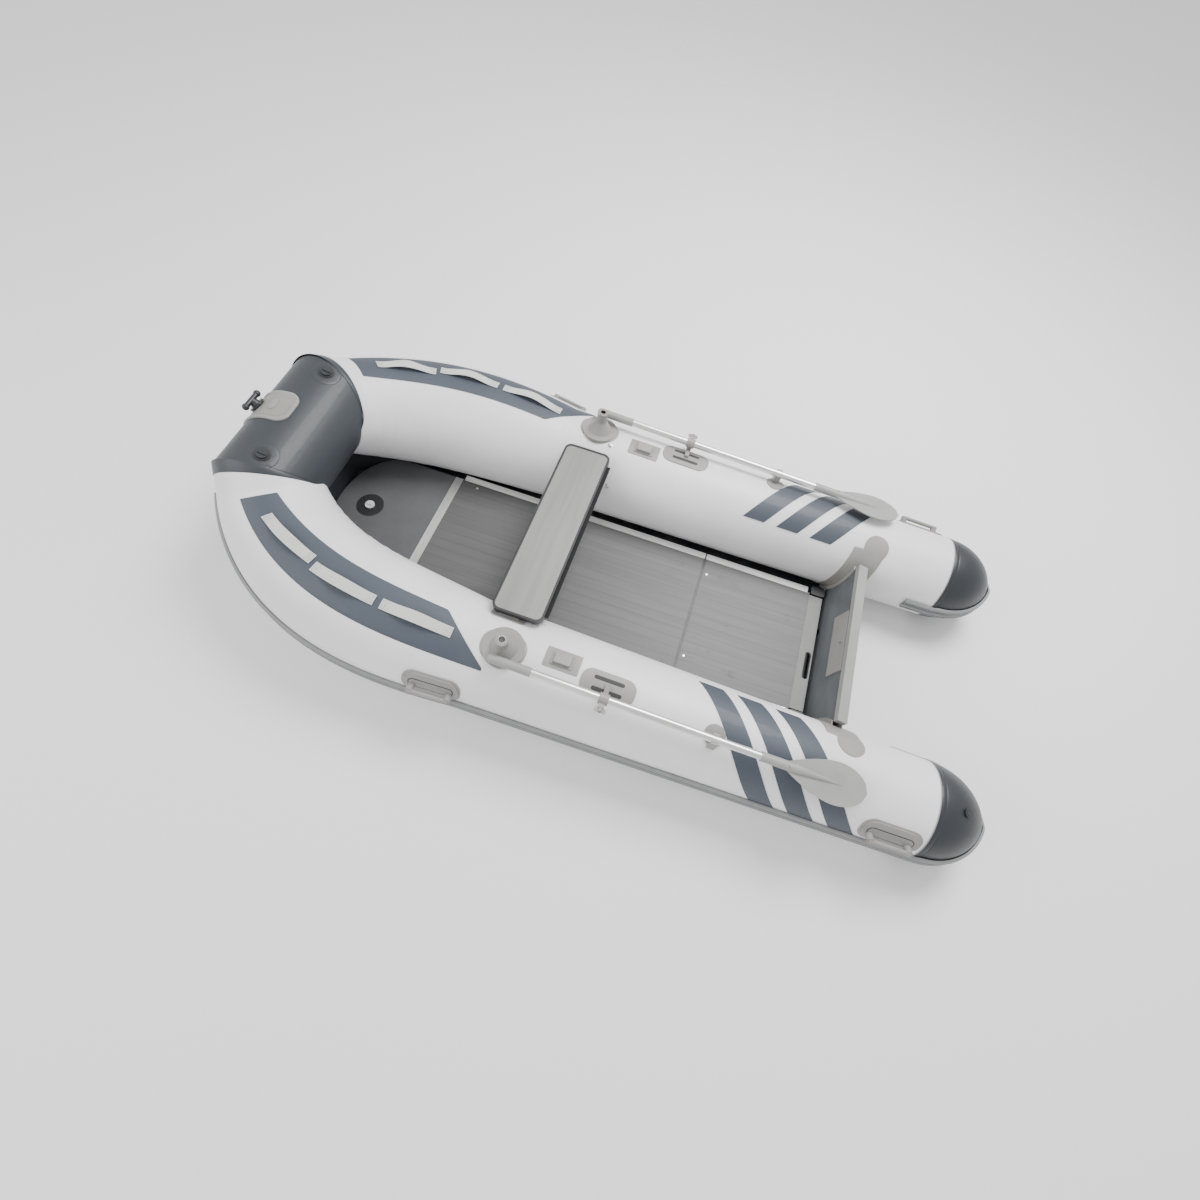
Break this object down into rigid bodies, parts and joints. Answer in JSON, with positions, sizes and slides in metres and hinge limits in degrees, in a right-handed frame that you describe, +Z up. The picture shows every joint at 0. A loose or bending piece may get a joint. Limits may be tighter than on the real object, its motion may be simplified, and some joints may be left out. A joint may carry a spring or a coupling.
{
  "type": "inflatable dinghy",
  "caption": "Inflatable tender with two side tubes, raised bow, ribbed floor boards, thwart, motor transom and a pair of stowed oars in turning collars",
  "frame": {"origin": "centre of the footprint, on the ground under the tubes", "axes": "+X runs aft from bow to stern, +Y to starboard, +Z up"},
  "size_m": [3.1034, 1.5444, 0.6133],
  "materials": {
    "tube_fabric": "matte",
    "slate_fabric": "matte",
    "strake_rubber": "satin",
    "strap_webbing": "matte",
    "moulded_grey": "satin",
    "oar_plastic": "satin",
    "oar_metal": "satin",
    "floor_metal": "matte",
    "steel": "satin",
    "black_plastic": "satin",
    "black_webbing": "matte",
    "bow_board_grey": "matte",
    "transom_paint": "satin",
    "light_plastic": "satin"
  },
  "bodies": {
    "hull": {"tube_port": "tube_fabric", "tube_starboard": "tube_fabric", "bow_tube_port": "tube_fabric", "bow_tube_starboard": "tube_fabric", "bow_section": "slate_fabric", "stern_cap_port": "slate_fabric", "stern_cap_starboard": "slate_fabric", "bulkheads": "tube_fabric", "strake_port": "strake_rubber", "strake_starboard": "strake_rubber", "chafe_panel_port": "slate_fabric", "chafe_panel_starboard": "slate_fabric", "grab_straps": "strap_webbing", "stern_stripes": "slate_fabric", "bow_patch": "moulded_grey", "tow_cleat": "black_plastic", "handle_fore_port": "moulded_grey", "handle_fore_starboard": "moulded_grey", "handle_aft_port": "moulded_grey", "handle_aft_starboard": "moulded_grey", "pole_sockets": "moulded_grey", "socket_liners": "steel", "lashing_patches": "moulded_grey", "rowlock_bases": "moulded_grey", "oar_clips": "moulded_grey", "seat_brackets": "moulded_grey", "bow_board": "bow_board_grey", "floor_board_fore": "floor_metal", "floor_board_mid": "floor_metal", "floor_board_aft": "floor_metal", "floor_joiners": "oar_metal", "floor_strips": "black_plastic", "floor_stringers": "oar_metal", "floor_end_trim": "moulded_grey", "floor_screws": "steel", "transom_board": "transom_paint", "transom_cap": "light_plastic", "motor_plates": "moulded_grey", "transom_holders": "moulded_grey", "keel_tube": "tube_fabric", "hull_skin": "slate_fabric", "valve_bodies": "black_plastic", "drain_socket": "black_plastic"},
    "seat": {"seat_board": "oar_metal", "seat_trim": "black_plastic", "seat_webbing": "black_webbing"},
    "keel_cap": {"valve_cap_keel": "light_plastic"},
    "drain": {"drain_plug": "black_plastic"},
    "oar_port": {"oar_shaft_port": "oar_metal", "oar_grip_port": "oar_plastic", "oar_blade_port": "oar_plastic"},
    "button_port": {"oar_button_port": "steel"},
    "wing_nut_port": {"rowlock_nut_port": "moulded_grey"},
    "bow_cap_port": {"valve_cap_port": "black_plastic"},
    "oar_starboard": {"oar_shaft_starboard": "oar_metal", "oar_grip_starboard": "oar_plastic", "oar_blade_starboard": "oar_plastic"},
    "button_starboard": {"oar_button_starboard": "steel"},
    "wing_nut_starboard": {"rowlock_nut_starboard": "moulded_grey"},
    "bow_cap_starboard": {"valve_cap_starboard": "black_plastic"}
  },
  "joints": [
    {"name": "seat_lift", "type": "slide", "parent": "hull", "child": "seat", "axis": [0, 0, 1], "range_m": [0, 0.06]},
    {"name": "oar_slide_port", "type": "slide", "parent": "hull", "child": "oar_port", "axis": [0.9991, 0, -0.0419], "range_m": [-0.14, 0.22]},
    {"name": "oar_button_port", "type": "slide", "parent": "oar_port", "child": "button_port", "axis": [-0.041, 0.2079, -0.9773], "range_m": [0, 0.003], "stiffness_N_per_m": 600},
    {"name": "wing_nut_port", "type": "hinge", "parent": "hull", "child": "wing_nut_port", "pos_m": [0.10481, -0.647, 0.424], "axis": [0, -1, 0], "continuous": true},
    {"name": "bow_valve_turn_port", "type": "hinge", "parent": "hull", "child": "bow_cap_port", "pos_m": [-1.32353, -0.222, 0.5954], "axis": [0.2419, 0, 0.9703], "range_deg": [0, 90]},
    {"name": "oar_slide_starboard", "type": "slide", "parent": "hull", "child": "oar_starboard", "axis": [0.9991, 0, -0.0419], "range_m": [-0.14, 0.22]},
    {"name": "oar_button_starboard", "type": "slide", "parent": "oar_starboard", "child": "button_starboard", "axis": [-0.041, -0.2079, -0.9773], "range_m": [0, 0.003], "stiffness_N_per_m": 600},
    {"name": "wing_nut_starboard", "type": "hinge", "parent": "hull", "child": "wing_nut_starboard", "pos_m": [0.10481, 0.647, 0.424], "axis": [0, 1, 0], "continuous": true},
    {"name": "bow_valve_turn_starboard", "type": "hinge", "parent": "hull", "child": "bow_cap_starboard", "pos_m": [-1.32353, 0.222, 0.5954], "axis": [0.2419, 0, 0.9703], "range_deg": [0, 90]},
    {"name": "keel_valve_turn", "type": "hinge", "parent": "hull", "child": "keel_cap", "pos_m": [-1.14619, 0, 0.104], "axis": [0, 0, 1], "range_deg": [0, 90]},
    {"name": "drain_plug_turn", "type": "hinge", "parent": "hull", "child": "drain", "pos_m": [0.91392, 0.12, 0.06842], "axis": [0.9781, 0, -0.2079], "range_deg": [0, 360]}
  ]
}
